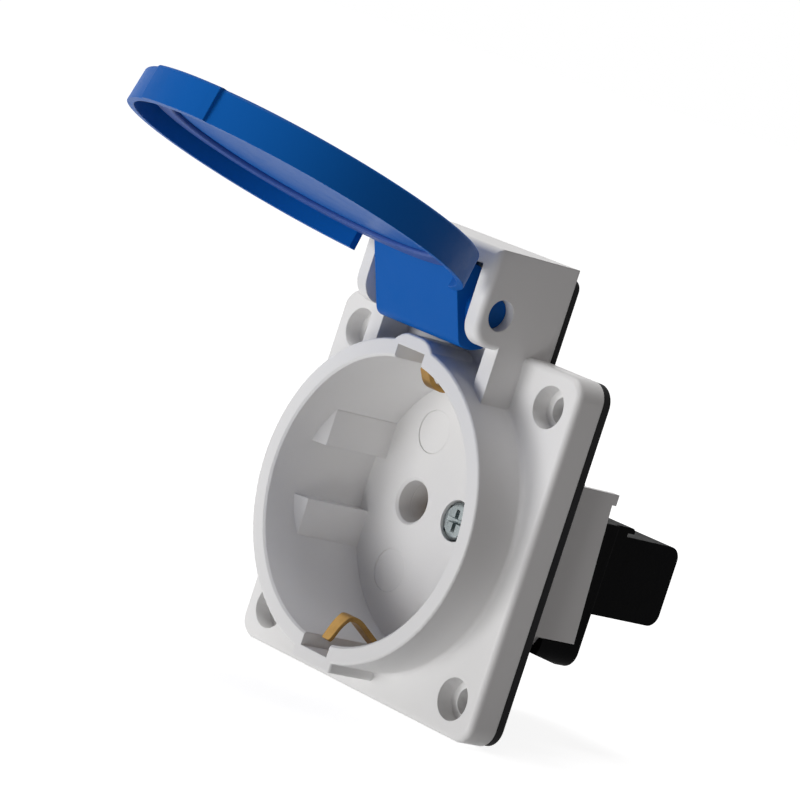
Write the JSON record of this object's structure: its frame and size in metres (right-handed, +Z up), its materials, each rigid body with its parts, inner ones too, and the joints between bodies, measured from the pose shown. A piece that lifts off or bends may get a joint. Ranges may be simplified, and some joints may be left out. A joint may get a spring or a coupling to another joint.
{
  "type": "panel mount socket outlet with hinged lid",
  "caption": "Square-flanged panel outlet with a round plug well, pin sockets, sprung side earth clips, rear terminals and a hinged splash lid standing open.",
  "frame": {"origin": "on the axis of the round plug well, in the plane of the flange's rear face, which the rubber gasket lies against", "axes": "+X right as seen from the front, the front with the plug well faces -Y, +Z up towards the lid's hinge"},
  "size_m": [0.05, 0.097, 0.0725],
  "materials": {
    "housing": "satin light grey moulding",
    "flange_gasket": "matt black rubber",
    "lid": "satin blue moulding",
    "lid_seal": "matt blue soft ring",
    "insert_base": "matt black moulding",
    "terminal_block": "matt black moulding",
    "line_contact": "stamped and rolled brass",
    "neutral_contact": "stamped and rolled brass",
    "line_contact_spring": "spring steel",
    "neutral_contact_spring": "spring steel",
    "earth_strap": "bent brass strip",
    "centre_screw": "zinc plated steel",
    "thread_insert": "turned brass",
    "line_terminal_cage": "drawn brass",
    "neutral_terminal_cage": "drawn brass",
    "earth_terminal_cage": "drawn brass",
    "wire_clamp_plates": "zinc plated steel",
    "terminal_screws": "zinc plated steel"
  },
  "bodies": {
    "outlet": {"housing": "housing", "flange_gasket": "flange_gasket", "insert_base": "insert_base", "terminal_block": "terminal_block", "line_contact": "line_contact", "neutral_contact": "neutral_contact", "line_contact_spring": "line_contact_spring", "neutral_contact_spring": "neutral_contact_spring", "earth_strap": "earth_strap", "centre_screw": "centre_screw", "thread_insert": "thread_insert", "line_terminal_cage": "line_terminal_cage", "neutral_terminal_cage": "neutral_terminal_cage", "earth_terminal_cage": "earth_terminal_cage", "wire_clamp_plates": "wire_clamp_plates", "terminal_screws": "terminal_screws"},
    "splash_lid": {"lid": "lid", "lid_seal": "lid_seal"}
  },
  "joints": [
    {"name": "lid_hinge", "type": "hinge", "parent": "outlet", "child": "splash_lid", "pos_m": [0, -0.0109, 0.0293], "axis": [1, 0, 0], "range_deg": [0, 105]}
  ]
}
